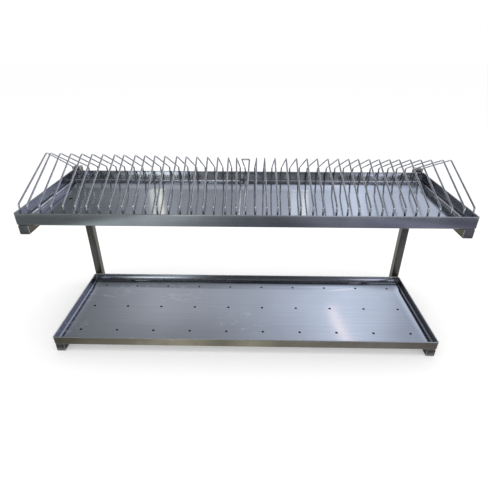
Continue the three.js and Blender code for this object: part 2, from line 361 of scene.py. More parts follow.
def makeDarkCard(name, facts):
    half = facts["halfWidth"]
    plate, tree = flatPlate(name, (-half, facts["front"]), (half, facts["rear"]), studio["cardLift"])
    across = parts(tree, objectSpot(tree))[0]
    shades = levelRamp(tree, across, 2 * half, facts["levels"], facts,
                       lambda place: between(place, *facts["tintTurn"]))
    glow = addNode(tree, "ShaderNodeEmission", {"Color": shades, "Strength": 1.0})
    addNode(tree, "ShaderNodeOutputMaterial", {"Surface": glow.outputs[0]})
    plate.visible_camera = plate.visible_diffuse = plate.visible_shadow = False


lamps = {
    "overhead": {"place": (0.25, -0.2, 2.3), "aim": (0, 0, 0.2), "size": (1.6, 1.2), "power": 12.0,
                 "colour": (1.0, 0.99, 0.97)},
}


def makeLamp(name, facts):
    data = bpy.data.lights.new(name, "AREA")
    data.shape = "RECTANGLE"
    data.size, data.size_y = facts["size"]
    data.energy = facts["power"]
    data.color = facts["colour"]
    lamp = bpy.data.objects.new(name, data)
    lamp.location = facts["place"]
    aim = Vector(facts["aim"]) - Vector(facts["place"])
    lamp.rotation_euler = aim.to_track_quat("-Z", "Y").to_euler()
    lamp.visible_camera = lamp.visible_glossy = False
    bpy.context.scene.collection.objects.link(lamp)


makeWorld()
makeFloor()
for cardName, cardFacts in darkCards.items():
    makeDarkCard(cardName, cardFacts)
for lampName, lampFacts in lamps.items():
    makeLamp(lampName, lampFacts)
bpy.context.scene.view_settings.view_transform = "Standard"
print("studio ready")


# Measures that the pieces share, in metres

tubeSize = 0.022
tubeRadius = 0.002
tubeWall = 0.0012
weldLeg = 0.003
underWeldLeg = 0.0022
rimWeldLength = 0.016
armWeldLength = 0.030
armWeldShares = [0.06, 0.5, 0.94]
sheetThickness = 0.0012
railDiameter = 0.004
wireRadius = 0.0015
wireSwell = 0.0004  # the polished wire is a little thicker than its nominal size
seatGap = 0.0003
mergeDistance = 1e-6
skewedHoop = "right_hoop_01"
upperLow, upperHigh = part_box("upper_tray")
lowerLow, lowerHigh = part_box("lower_tray")
tubeCentre = sum(corner.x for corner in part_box("right_post_cap")) / 2
armWeldRows = [upperLow.y + share * (upperHigh.y - upperLow.y) for share in armWeldShares]
railHeight = sum(corner.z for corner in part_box("left_rack_frame")) / 2


# Finishes

def newLook(name, anisotropy=0.0):
    material = bpy.data.materials.new(name)
    material.use_nodes = True
    tree = material.node_tree
    shader = tree.nodes["Principled BSDF"]
    fill(tree, shader, {"Metallic": 1.0, "Anisotropic": anisotropy})
    return tree, shader, objectSpot(tree), material


def worldNormal(tree):
    return addNode(tree, "ShaderNodeNewGeometry").outputs["Normal"]


trayFaces = {  # the directions, or metres, between which each share fades in or out
    "floor": (0.75, 0.97),  # facing up
    "side": (0.6, 0.8),
    "outer": (0.01, 0.05),
    "corner": (0.25, 0.45),
    "rim": (0.1, 0.5),
    "facingFront": (-0.3, -0.1),
    "tilted": (0.02, 0.12),
    "rimDepths": (0.004, 0.001),  # below the rim's top
    "bendHeights": (0.00252, 0.0036),  # above the floor
}

trayFinish = {  # a span gives the noise values between which its share fades in
    "floorColour": (0.53, 0.56, 0.61),
    "rimColour": (0.60, 0.61, 0.64),
    "stainColour": (0.36, 0.36, 0.35),
    "stainSpan": (0.45, 0.75),
    "stainShare": 0.12,
    # painted shade: near-black for the inside crease at the foot of the rear wall and the rear side of each
    # hole's rim
    "bendShadeColour": (0.08, 0.085, 0.10),
    "weldedCornerColour": (0.17, 0.16, 0.15),
    "weldedCorner": {"stretch": (9.0, 9.0, 700.0), "span": (0.3, 0.6), "shares": (0.4, 0.9), "detail": 3.0},
    "grain": {"stretch": (12.0, 1500.0, 1500.0)},  # runs along X over floor, front and back
    "sideGrain": {"stretch": (1500.0, 1500.0, 12.0)},
    "grainDepth": 0.000012,
    "grainStrength": 0.6,
    "grainShade": 0.10,
    "streaks": {"stretch": (2.2, 170.0, 170.0), "detail": 3.0, "roughness": 0.6},
    "streakShade": 0.10,
    "streakRoughness": 0.02,
    "clouds": {"stretch": (9.0, 11.0, 9.0), "detail": 5.0, "roughness": 0.6},
    "patchSpan": (0.35, 0.68),
    "cloudSpan": (0.3, 0.75),
    "cloudShades": (0.95, 1.03),
    "dullSpan": (0.4, 0.8),
    "dullRoughness": 0.04,
    "smears": {"stretch": (34.0, 70.0, 60.0), "span": (0.56, 0.68), "distortion": 0.4},
    "smearRegions": {"stretch": (4.5, 7.0, 5.0), "span": (0.5, 0.62), "detail": 1.0},
    "smearsEnd": (-0.05, 0.1),  # towards +X
    "smearShade": 0.32,
    "smearRoughness": 0.16,
    "wallRoughness": 0.11,
    "rimRoughness": 0.36,
    "dish": {"stretch": (5.0, 4.0, 4.0), "detail": 0.5},
}

# painted shade: in each finish the rear wall, the side walls and the outer faces of the one sheet take their
# own colours, by the way each face points
upperFinish = {
    "outerWallShade": (0.33, 0.34, 0.345),
    "rearWallColour": (0.60, 0.615, 0.63),
    "sideWallShade": (0.36, 0.36, 0.41),
    "floorRoughness": 0.08,
    "anisotropy": 0.95,
    "patches": (0.93, 1.04),
    "smears": 0.0,
    "dishDepth": 0.0005,
    "rearBend": (0.085, 0.0135),  # how far and how high the floor seems to sweep up to the rear wall
}

lowerFinish = {
    "outerWallShade": (0.42, 0.42, 0.415),
    "rearWallColour": (0.40, 0.41, 0.42),
    "sideWallShade": (0.22, 0.22, 0.27),
    "floorRoughness": 0.08,
    "anisotropy": 0.3,
    "patches": (0.86, 1.12),
    "smears": 1.0,
    "dishDepth": 0.0003,
    "rearBend": (0.05, 0.0078),
    "sideBend": (0.03, 0.0018),
}


def grainTangent(tree, normal):
    nx, ny, nz = parts(tree, normal)
    across = calc(tree, "ADD", calc(tree, "ABSOLUTE", nx), nz)
    made = addNode(tree, "ShaderNodeCombineXYZ", {0: 0.0, 1: across, 2: times(tree, ny, -1.0)})
    return made.outputs[0]


def sweptRise(tree, place, wall, reach, rise):
    share = calc(tree, "MULTIPLY_ADD", place, 1 / reach, 1 - wall / reach, clamp=True)
    return times(tree, share, share, rise)


def makeTraySteel(name, finish, floorTop, rimHeight, sideWall, rearWall):
    facts, faces = trayFinish, trayFaces
    tree, shader, spot, material = newLook(name, finish["anisotropy"])
    px, py, pz = parts(tree, spot)
    normal = worldNormal(tree)
    nx, ny, nz = parts(tree, normal)
    isFloor = fade(tree, nz, *faces["floor"])
    isSide = fade(tree, calc(tree, "ABSOLUTE", nx), *faces["side"])
    isOuter = fade(tree, calc(tree, "MULTIPLY_ADD", nx, px, times(tree, ny, py)), *faces["outer"])
    isCorner = fade(tree, calc(tree, "ABSOLUTE", times(tree, nx, ny)), *faces["corner"])
    isRim = times(tree, fade(tree, pz, *(rimHeight - depth for depth in faces["rimDepths"])),
                  fade(tree, nz, *faces["rim"]))
    # painted shade: faces that face front and tilt up just above the floor, in the rear wall's crease and on
    # the holes' rear rims
    shadedBend = times(tree, fadeOut(tree, ny, *faces["facingFront"]), fade(tree, nz, *faces["tilted"]),
                   fadeOut(tree, pz, *(floorTop + height for height in faces["bendHeights"])))
    along, upright = (noise(tree, spot, **facts[key]) for key in ("grain", "sideGrain"))
    grain = blendValues(tree, isSide, along, upright)
    streaks = noise(tree, spot, **facts["streaks"])
    clouds = noise(tree, spot, **facts["clouds"])
    smears = times(tree, patchy(tree, spot, **facts["smears"]), patchy(tree, spot, **facts["smearRegions"]),
                   times(tree, isFloor, finish["smears"]), fadeOut(tree, px, *facts["smearsEnd"]))
    patches = fade(tree, clouds, *facts["patchSpan"], *finish["patches"])
    stains = fade(tree, clouds, *facts["stainSpan"], 0.0, facts["stainShare"])
    welded = times(tree, isCorner, patchy(tree, spot, **facts["weldedCorner"]))
    # painted shade: the sheet's colour changes by the way each face points: rear wall, side walls, outer
    # faces, floor
    colour = finish["rearWallColour"]
    for share, layer in (
            (isSide, finish["sideWallShade"]), (isOuter, shaded(tree, finish["outerWallShade"], patches)),
            (shadedBend, facts["bendShadeColour"]), (isFloor, facts["floorColour"]), (isRim, facts["rimColour"]),
            (welded, facts["weldedCornerColour"]), (stains, facts["stainColour"])):
        colour = blendColours(tree, share, colour, layer)
    shade = times(tree, around(tree, grain, 1.0, facts["grainShade"]),
                  around(tree, streaks, 1.0, facts["streakShade"]),
                  fade(tree, clouds, *facts["cloudSpan"], *facts["cloudShades"]))
    shade = calc(tree, "MULTIPLY_ADD", smears, facts["smearShade"], shade)
    rough = blendValues(tree, isFloor, facts["wallRoughness"], finish["floorRoughness"])
    rough = blendValues(tree, isRim, rough, facts["rimRoughness"])
    rough = calc(tree, "ADD", rough, fade(tree, clouds, *facts["dullSpan"], 0.0, facts["dullRoughness"]))
    rough = calc(tree, "MULTIPLY_ADD", smears, facts["smearRoughness"], rough)
    rough = calc(tree, "ADD", rough, around(tree, streaks, 0.0, facts["streakRoughness"]))
    swept = sweptRise(tree, py, rearWall, *finish["rearBend"])
    if "sideBend" in finish:
        sides = sweptRise(tree, calc(tree, "ABSOLUTE", px), sideWall, *finish["sideBend"])
        swept = calc(tree, "ADD", swept, sides)
    relief = bump(tree, swept, 1.0, isFloor)
    relief = bump(tree, noise(tree, spot, **facts["dish"]), finish["dishDepth"], 1.0, relief)
    fill(tree, shader, {
        "Base Color": shaded(tree, colour, shade),
        "Roughness": rough,
        "Normal": bump(tree, grain, facts["grainDepth"], facts["grainStrength"], relief),
        "Tangent": grainTangent(tree, normal),
    })
    return material


tubeFinish = {
    "colour": (0.10, 0.103, 0.10),
    "warmColour": (0.135, 0.127, 0.115),
    "warmSpan": (0.35, 0.7),
    "sideSpan": (0.5, 0.9),
    # the rounded corners of the tubes are lightened: rubbed wear, and partly a painted highlight
    "edgeWearHighlightColour": (0.27, 0.265, 0.255),
    "edges": {"span": (0.80, 0.99), "share": 0.5},  # how squarely a face looks along one axis
    "strawColour": (0.19, 0.155, 0.11),
    "straw": {"span": (0.008, 0.024), "share": 0.35},  # metres from a weld
    "mottle": {"stretch": (160.0, 160.0, 160.0), "span": (0.2, 0.7), "shares": (0.5, 1.0)},
    "burnColour": (0.06, 0.045, 0.035),
    "burn": {"span": (0.005, 0.013), "share": 0.75},
    "burnRoughness": 0.15,
    "grazeColour": (0.6, 0.58, 0.55),
    "grainShade": 0.16,
    "grainRoughness": 0.06,
    "grainDepth": 0.00002,
    "grainStrength": 0.6,
    "roughness": 0.33,
    "clouds": {"stretch": (18.0, 18.0, 18.0), "detail": 5.0, "roughness": 0.6},
    "dullSpan": (0.4, 0.8),
    "dullRoughness": (-0.03, 0.08),
    "anisotropy": 0.5,
}

# painted shade: the last pair in each entry sets the brightness of a tube's faces that point across X, then
# of those that point along X
tubeGrains = {
    "postSteel": {"stretch": (900.0, 900.0, 12.0), "axis": (0.0, 0.0, 1.0), "faceShades": (0.8, 1.4)},
    "armSteel": {"stretch": (900.0, 12.0, 900.0), "axis": (0.0, 1.0, 0.0), "faceShades": (1.0, 0.65)},
}


def distanceToWelds(tree, spot, places):
    px, py, pz = parts(tree, spot)
    mirrored = addNode(tree, "ShaderNodeCombineXYZ", {0: calc(tree, "ABSOLUTE", px), 1: py, 2: pz})
    nearest = 1.0
    for place in places:
        gap = addNode(tree, "ShaderNodeVectorMath", {0: mirrored.outputs[0], 1: place}, operation="DISTANCE")
        nearest = calc(tree, "MINIMUM", gap.outputs["Value"], nearest)
    return nearest


def makeTubeSteel(name, weldPlaces):
    facts, run = tubeFinish, tubeGrains[name]
    tree, shader, spot, material = newLook(name, facts["anisotropy"])
    normal = worldNormal(tree)
    sideways, *others = [calc(tree, "ABSOLUTE", side) for side in parts(tree, normal)]
    flatness = calc(tree, "MAXIMUM", calc(tree, "MAXIMUM", *others), sideways)
    grain = noise(tree, spot, run["stretch"])
    clouds = noise(tree, spot, **facts["clouds"])
    gap = distanceToWelds(tree, spot, weldPlaces)
    # rounded corners lightened as wear and as a painted highlight; straw and burn tint near the welds
    wearAndHighlight, straw, burn = (fade(tree, value, *facts[key]["span"], facts[key]["share"], 0.0)
                         for key, value in (("edges", flatness), ("straw", gap), ("burn", gap)))
    straw = times(tree, straw, patchy(tree, spot, **facts["mottle"]))
    colour = blendColours(tree, fade(tree, clouds, *facts["warmSpan"]), facts["colour"], facts["warmColour"])
    # painted shade: each face of the tube is brightened or darkened by the way it points
    colour = shaded(tree, colour, fade(tree, sideways, *facts["sideSpan"], *run["faceShades"]))
    for share, layer in ((wearAndHighlight, "edgeWearHighlightColour"), (straw, "strawColour"), (burn, "burnColour")):
        colour = blendColours(tree, share, colour, facts[layer])
    rough = around(tree, grain, facts["roughness"], facts["grainRoughness"])
    rough = calc(tree, "ADD", rough, fade(tree, clouds, *facts["dullSpan"], *facts["dullRoughness"]))
    across = addNode(tree, "ShaderNodeVectorMath", {0: normal, 1: run["axis"]}, operation="CROSS_PRODUCT")
    fill(tree, shader, {
        "Base Color": shaded(tree, colour, around(tree, grain, 1.0, facts["grainShade"])),
        "Roughness": calc(tree, "MULTIPLY_ADD", burn, facts["burnRoughness"], rough),
        "Normal": bump(tree, grain, facts["grainDepth"], facts["grainStrength"]),
        "Tangent": across.outputs[0],
        "Specular Tint": facts["grazeColour"],
    })
    return material


capFinish = {
    "colour": (0.14, 0.145, 0.148),
    "tints": [{"colour": (0.19, 0.185, 0.18), "span": (0.4, 0.7), "shares": (0.0, 1.0)}],
    "patches": {"stretch": (120.0, 120.0, 120.0), "detail": 4.0, "roughness": 0.6},
    "grain": {"stretch": (90.0, 700.0, 1400.0)},
    "grainShade": 0.18,
    "grainDepth": 0.00003,
    "grainStrength": 0.6,
    "roughness": (0.38, 0.1),  # in the middle, and how far it swings
    "roughnessFrom": "patches",
}

groundFinish = {
    "colour": (0.34, 0.34, 0.345),
    "tints": [],
    "grain": {"stretch": (1900.0, 500.0, 1900.0), "detail": 3.0, "roughness": 0.7},
    "grainShade": 0.3,
    "grainDepth": 0.00005,
    "grainStrength": 0.7,
    "roughness": (0.32, 0.14),
    "roughnessFrom": "grain",
}

weldFinish = {
    "colour": (0.17, 0.135, 0.10),
    "tints": [  # bright drops, then a blue bloom
        {"colour": (0.62, 0.61, 0.59), "span": (0.52, 0.66), "shares": (0.0, 1.0)},
        {"colour": (0.12, 0.13, 0.18), "span": (0.30, 0.42), "shares": (0.7, 0.0)},
    ],
    "patches": {"stretch": (420.0, 420.0, 420.0), "roughness": 0.6},
    "grain": {"stretch": (2400.0, 2400.0, 2400.0)},
    "grainShade": 0.2,
    "grainDepth": 0.00006,
    "grainStrength": 0.5,
    "roughness": (0.3, 0.12),
    "roughnessFrom": "grain",
}


def makeSmallSteel(name, facts):
    tree, shader, spot, material = newLook(name)
    textures = {key: noise(tree, spot, **facts[key]) for key in ("patches", "grain") if key in facts}
    grain = textures["grain"]
    colour = facts["colour"]
    for tint in facts["tints"]:
        share = fade(tree, textures["patches"], *tint["span"], *tint["shares"])
        colour = blendColours(tree, share, colour, tint["colour"])
    fill(tree, shader, {
        "Base Color": shaded(tree, colour, around(tree, grain, 1.0, facts["grainShade"])),
        "Roughness": around(tree, textures[facts["roughnessFrom"]], *facts["roughness"]),
        "Normal": bump(tree, grain, facts["grainDepth"], facts["grainStrength"]),
    })
    return material


wireFinish = {
    "colour": (0.72, 0.73, 0.77),
    "darkColour": (0.60, 0.60, 0.64),
    "footColour": (0.34, 0.30, 0.26),
    "clouds": {"stretch": (60.0, 60.0, 60.0), "detail": 3.0},
    "brightSpan": (0.35, 0.65),
    "footSpan": (0.4, 0.6),
    "footShare": 0.6,
    "footEnd": (0.0032, 0.009),  # this and the next three: heights above the rails' middle
    "legStart": (0.003, 0.007),
    "legEnd": (0.028, 0.032),
    "railTop": (0.0022, 0.003),
    "legShade": 0.55,  # painted shade: the legs are darkened below the shoulders
    # painted highlight: the rails, and the wire below their tops, are brightened
    "railHighlight": 1.28,
    "drawn": {"stretch": (1600.0, 240.0, 240.0)},
    "drawnShade": 0.1,
    "dullSpan": (0.3, 0.8),
    "roughness": (0.10, 0.18),
}


def makeWireSteel():
    facts = wireFinish
    tree, shader, spot, material = newLook("brightWire")
    pz = parts(tree, spot)[2]

    def fadeUp(key, *shares):
        return fade(tree, pz, *(railHeight + height for height in facts[key]), *shares)

    clouds = noise(tree, spot, **facts["clouds"])
    drawn = noise(tree, spot, **facts["drawn"])
    foot = times(tree, fadeUp("footEnd", facts["footShare"], 0.0), fade(tree, clouds, *facts["footSpan"]))
    leg = times(tree, fadeUp("legStart"), fadeUp("legEnd", 1.0, 0.0))
    bright = fade(tree, clouds, *facts["brightSpan"])
    colour = blendColours(tree, bright, facts["darkColour"], facts["colour"])
    colour = blendColours(tree, foot, colour, facts["footColour"])
    # painted shade: the legs between the rails and the shoulders are darkened
    paintedLegShade = blendValues(tree, leg, 1.0, facts["legShade"])
    # painted highlight on the rails and the wire below their tops
    paintedRailHighlight = fadeUp("railTop", facts["railHighlight"], 1.0)
    for brightness in (paintedLegShade, paintedRailHighlight, around(tree, drawn, 1.0, facts["drawnShade"])):
        colour = shaded(tree, colour, brightness)
    fill(tree, shader, {
        "Base Color": colour,
        "Roughness": fade(tree, clouds, *facts["dullSpan"], *facts["roughness"]),
    })
    return material


postWelds = [(tubeCentre, upperHigh.y, z) for z in (lowerHigh.z, upperHigh.z, upperLow.z - tubeSize)]
armWelds = [(tubeCentre - tubeSize / 2, y, z) for y in armWeldRows for z in (lowerLow.z, upperLow.z)]
walls = (upperHigh.x - sheetThickness, upperHigh.y - sheetThickness)
upperSteel = makeTraySteel("upperTraySteel", upperFinish, upperLow.z + sheetThickness, upperHigh.z, *walls)
lowerSteel = makeTraySteel("lowerTraySteel", lowerFinish, lowerLow.z + sheetThickness, lowerHigh.z, *walls)
postSteel = makeTubeSteel("postSteel", postWelds)
armSteel = makeTubeSteel("armSteel", armWelds)
capSteel = makeSmallSteel("capSteel", capFinish)
groundSteel = makeSmallSteel("groundEdgeSteel", groundFinish)
weldSteel = makeSmallSteel("weldSteel", weldFinish)
wireSteel = makeWireSteel()
print("finishes mixed")


# Mesh helpers

def newPiece(name, shape, looks, body, slot, *nodes, sharpDegrees=40):
    bmesh.ops.remove_doubles(shape, verts=shape.verts, dist=mergeDistance)
    bmesh.ops.recalc_face_normals(shape, faces=shape.faces)
    mesh = bpy.data.meshes.new(name)
    shape.to_mesh(mesh)
    shape.free()
    mesh.shade_smooth()
    mesh.set_sharp_from_angle(angle=math.radians(sharpDegrees))
    for look in looks:
        mesh.materials.append(look)
    piece = bpy.data.objects.new(name, mesh)
    bpy.context.scene.collection.objects.link(piece)
    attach(piece, body)
    if nodes:
        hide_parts(*nodes)
    return piece


def addRings(shape, rings, alongClosed=False):
    loops = [[shape.verts.new(point) for point in ring] for ring in rings]
    pairs = list(zip(loops, loops[1:]))
    if alongClosed:
        pairs.append((loops[-1], loops[0]))
    for low, high in pairs:
        for k in range(len(low)):
            n = (k + 1) % len(low)
            shape.faces.new((low[k], low[n], high[n], high[k]))
    return loops


def closeEnds(shape, loops):
    shape.faces.new(loops[0])
    shape.faces.new(loops[-1])


def roundedRing(centre, halfX, halfY, radius, z, steps):
    ring = []
    for quarter, (signX, signY) in enumerate(((1, 1), (-1, 1), (-1, -1), (1, -1))):
        corner = (centre[0] + signX * (halfX - radius), centre[1] + signY * (halfY - radius))
        ring += [Vector((x, y, z)) for x, y in arc(corner, radius, 90 * quarter, 90 * quarter + 90, steps)]
    return ring


def circle(radius, sides):
    return [(radius * math.cos(2 * math.pi * k / sides), radius * math.sin(2 * math.pi * k / sides))
            for k in range(sides)]


def arc(centre, radius, fromDegrees, toDegrees, steps):
    points = []
    for step in range(steps + 1):
        angle = math.radians(fromDegrees + (toDegrees - fromDegrees) * step / steps)
        points.append((centre[0] + radius * math.cos(angle), centre[1] + radius * math.sin(angle)))
    return points


# Trays: folded sheet with a hemmed rim

traySheet = {
    "outerBend": 0.0028,
    "innerBend": 0.003,
    "cornerRadius": 0.005,
    "hemThickness": 0.003,
    "hemHeight": 0.007,
    "gapDepth": 0.002,
    "cornerSteps": 8,
    "bendSteps": 5,
    "support": 0.0005,
    "leastRadius": 0.0004,
    "gridStep": 0.0125,
    "edgeMargin": 0.006,
    "buckle": 0.0003,  # how far the thin floor is out of flat
    "buckleScale": 5.5,
    "buckleEdge": 0.05,
}

holeShape = {
    "sides": 32,
    "flat": 0.0008,  # level ring round the hole
    "rows": [(0.0004, 0.0), (0.00012, 0.0001), (0.0, 0.0004)],  # drawn in by the punch
    "lip": 0.0001,
    "collarWall": 0.0009,
    "collarRound": 0.0004,
    "margin": 0.002,
}


def trayProfile(height):
    sheet = sheetThickness
    outerBend = traySheet["outerBend"]
    hem = traySheet["hemThickness"]
    steps = traySheet["bendSteps"]
    rimRadius = hem / 2
    foldEnd = sheet / 2
    hemFoot = height - traySheet["hemHeight"] + foldEnd
    slit = hem - sheet
    points = [(outerBend + traySheet["support"], 0.0)]
    points += arc((outerBend, outerBend), outerBend, 270, 180, steps)
    points += arc((rimRadius, height - rimRadius), rimRadius, 180, 0, 2 * steps)
    points += arc((hem - foldEnd, hemFoot), foldEnd, 0, -180, steps)
    points += [(slit, hemFoot + traySheet["gapDepth"]), (sheet, hemFoot + traySheet["gapDepth"])]
    inner = sheet + traySheet["innerBend"]
    points += arc((inner, inner), traySheet["innerBend"], 180, 270, steps)
    points += [(inner + traySheet["support"], sheet)]
    return points


def buckled(x, y, low, high, seed):
    inward = min(x - low.x, high.x - x, y - low.y, high.y - y) - traySheet["edgeMargin"]
    share = between(inward, 0, traySheet["buckleEdge"])
    scale = traySheet["buckleScale"]
    rise = field.noise(Vector((x * scale, y * scale, seed)))
    return traySheet["buckle"] * rise * share * share * (3 - 2 * share)


def fillPlate(shape, outline, holes, z, rise):
    points, edges, rims = [], [], []
    for ring in (outline, *holes):
        first, count = len(points), len(ring)
        points += [p.xy for p in ring]
        edges += [(first + i, first + (i + 1) % count) for i in range(count)]
    for ring in holes:
        middle = sum((p.xy for p in ring), Vector((0, 0))) / len(ring)
        rims.append((middle, (ring[0].xy - middle).length))
    margin = traySheet["edgeMargin"]
    lowX, lowY = (min(p[axis] for p in outline) for axis in (0, 1))
    spanX = max(p.x for p in outline) - lowX - 2 * margin
    spanY = max(p.y for p in outline) - lowY - 2 * margin
    columns, rows = (round(span / traySheet["gridStep"]) for span in (spanX, spanY))
    for column in range(columns + 1):
        for row in range(rows + 1):
            place = Vector((lowX + margin + spanX * column / columns, lowY + margin + spanY * row / rows))
            if all((place - middle).length > reach + holeShape["margin"] for middle, reach in rims):
                points.append(place)
    insideOutline, tolerance = 1, 1e-7
    made = delaunay_2d_cdt(points, edges, [], insideOutline, tolerance)
    verts = [shape.verts.new((p.x, p.y, z + rise(p.x, p.y))) for p in made[0]]
    for face in made[2]:
        middle = sum((made[0][i] for i in face), Vector((0, 0))) / len(face)
        if all((middle - centre).length > reach for centre, reach in rims):
            shape.faces.new([verts[i] for i in face])
    for loose in [v for v in verts if not v.link_faces]:
        shape.verts.remove(loose)


def addHole(shape, x, y, radius, collar, top, bottom, rise):
    levels = [(radius + holeShape["flat"], top)]
    levels += [(radius + out, top - drop) for out, drop in holeShape["rows"]]
    edge = bottom - collar
    lip, bend = holeShape["lip"], holeShape["collarRound"]
    levels += [(radius, edge + lip), (radius + lip, edge)]
    if collar:
        wall = radius + holeShape["collarWall"]
        levels += [(wall, edge), (wall, bottom - bend), (wall + bend, bottom)]
    rings = []
    for r, z in levels:
        places = [(x + a, y + b) for a, b in circle(r, holeShape["sides"])]
        rings.append([Vector((across, along, z + rise(across, along))) for across, along in places])
    addRings(shape, rings)
    return rings[0], rings[-1]


def makeTray(name, look, holes, seed):
    low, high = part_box(name)
    centre = (low + high) / 2
    half = (high - low) / 2
    shape = bmesh.new()
    rings = []
    for inward, z in trayProfile(high.z - low.z):
        radius = max(traySheet["cornerRadius"] - inward, traySheet["leastRadius"])
        rings.append(roundedRing(
            centre, half.x - inward, half.y - inward, radius, low.z + z, traySheet["cornerSteps"]))
    addRings(shape, rings)
    floorTop = low.z + sheetThickness

    def rise(x, y):
        return buckled(x, y, low, high, seed)

    tops, bottoms = [], []
    for x, y, radius, collar in holes(low, high):
        top, bottom = addHole(shape, x, y, radius, collar, floorTop, low.z, rise)
        tops.append(top)
        bottoms.append(bottom)
    fillPlate(shape, rings[-1], tops, floorTop, rise)
    fillPlate(shape, rings[0], bottoms, low.z, rise)
    newPiece(name + "_sheet", shape, [look], "stand", "tray_steel", name)


drainHoles = {
    "columns": 10,
    "rows": 3,
    "radius": 0.0035,
    "sideShare": 0.047,
    "frontShare": 0.193,
    "rearShare": 0.115,
}
outletHole = {"radius": 0.0055, "sideShare": 0.054, "depthShare": 0.515, "collar": 0.005}


def lowerHoles(low, high):
    size = high - low
    for row in range(drainHoles["rows"]):
        along = row / (drainHoles["rows"] - 1)
        share = drainHoles["frontShare"] * (1 - along) + (1 - drainHoles["rearShare"]) * along
        for column in range(drainHoles["columns"]):
            across = column / (drainHoles["columns"] - 1)
            side = drainHoles["sideShare"] * (1 - across) + (1 - drainHoles["sideShare"]) * across
            yield low.x + side * size.x, low.y + share * size.y, drainHoles["radius"], 0.0


def upperHoles(low, high):
    x, y = (low + Vector((outletHole["sideShare"], outletHole["depthShare"], 0)) * (high - low)).xy
    yield x, y, outletHole["radius"], outletHole["collar"]


makeTray("upper_tray", upperSteel, upperHoles, seed=1.7)
makeTray("lower_tray", lowerSteel, lowerHoles, seed=6.3)
print("trays folded")


# Welds: rows of overlapping drops laid in a corner, and flat seams

beadShape = {
    "pitch": 0.0021,  # from drop to drop
    "stepsPerDrop": 5,
    "ripple": 0.16,
    "wander": 0.12,
    "waves": 9,
    "noiseSlice": 0.3,
    "flattening": 0.16,
    "root": 0.0005,
    "sides": 7,
    "endShare": 0.35,
}


def addBead(shape, start, end, sideA, sideB, leg, seed):
    length = (end - start).length
    drops = max(2, round(length / beadShape["pitch"]))
    count = drops * beadShape["stepsPerDrop"]
    rings = []
    for step in range(count + 1):
        along = step / count
        middle = start.lerp(end, along)
        size = leg * (1 - beadShape["ripple"] * (1 - abs(math.sin(math.pi * along * drops))))
        wander = field.noise(Vector((along * beadShape["waves"], seed, beadShape["noiseSlice"])))
        size *= 1 - beadShape["wander"] * (0.5 + 0.5 * wander)
        fromEnd = min(1.0, min(along, 1 - along) * length / leg)
        size *= beadShape["endShare"] + (1 - beadShape["endShare"]) * fromEnd ** 0.5
        ring = [middle - (sideA + sideB) * beadShape["root"]]
        for angle in (math.pi / 2 * k / beadShape["sides"] for k in range(beadShape["sides"] + 1)):
            bulge = 1 - beadShape["flattening"] * math.sin(2 * angle)
            ring.append(middle + (sideA * math.cos(angle) + sideB * math.sin(angle)) * size * bulge)
        rings.append(ring)
    closeEnds(shape, addRings(shape, rings))


seamShape = {
    "halfWidth": 0.0013,
    "height": 0.00035,
    "sides": 6,
    "pitch": 0.0017,
    "stepsPerDrop": 4,
    "leastSteps": 4,
    "ripple": 0.18,
    "wobble": 0.0002,
    "wavesPerMetre": 400,
    "noiseSlice": 0.9,
    "root": 0.0003,
    "sink": 0.00005,
}


def addSeam(shape, start, end, outward, seed):
    length = (end - start).length
    across = (end - start).normalized().cross(outward)
    count = max(seamShape["leastSteps"], round(length / seamShape["pitch"] * seamShape["stepsPerDrop"]))
    rings = []
    for step in range(count + 1):
        share = step / count
        ripple = 1 - seamShape["ripple"] * (1 - abs(math.sin(math.pi * share * length / seamShape["pitch"])))
        place = Vector((share * length * seamShape["wavesPerMetre"], seed, seamShape["noiseSlice"]))
        middle = start.lerp(end, share) + across * field.noise(place) * seamShape["wobble"]
        ring = [middle - outward * seamShape["root"]]
        for angle in (math.pi * k / seamShape["sides"] for k in range(seamShape["sides"] + 1)):
            ring.append(middle + across * math.cos(angle) * seamShape["halfWidth"] * ripple
                        + outward * (math.sin(angle) * seamShape["height"] * ripple - seamShape["sink"]))
        rings.append(ring)
    closeEnds(shape, addRings(shape, rings))


# Side frames: square tube, closed with flat caps

tubeShape = {"cornerSteps": 6, "boreRadius": 0.0008, "endBevel": 0.0002, "ringEvery": 0.02}


def squareRings(origin, axis, levels):
    rings = []
    for reach, radius, z in levels:
        ring = roundedRing((0, 0), reach, reach, radius, z, tubeShape["cornerSteps"])
        rings.append([origin + (p if axis == "z" else Vector((p.x, p.z, -p.y))) for p in ring])
    return rings


def makeTube(node, look, start, length, axis):
    half = tubeSize / 2
    bevel = tubeShape["endBevel"]
    bore = half - tubeWall
    spans = max(2, round(length / tubeShape["ringEvery"]))
    levels = [(half - bevel, tubeRadius - bevel, 0.0), (half, tubeRadius, bevel)]
    levels += [(half, tubeRadius, length * k / spans) for k in range(1, spans)]
    levels += [(half, tubeRadius, length - bevel), (half - bevel, tubeRadius - bevel, length)]
    levels += [(bore, tubeShape["boreRadius"], length), (bore, tubeShape["boreRadius"], 0.0)]
    shape = bmesh.new()
    addRings(shape, squareRings(start, axis, levels), alongClosed=True)
    return newPiece(node + "_tube", shape, [look], "stand", "tube_steel", node)


capShape = {"bevel": 0.0007, "bevelSteps": 4, "backBevel": 0.0004, "leastRadius": 0.0004}


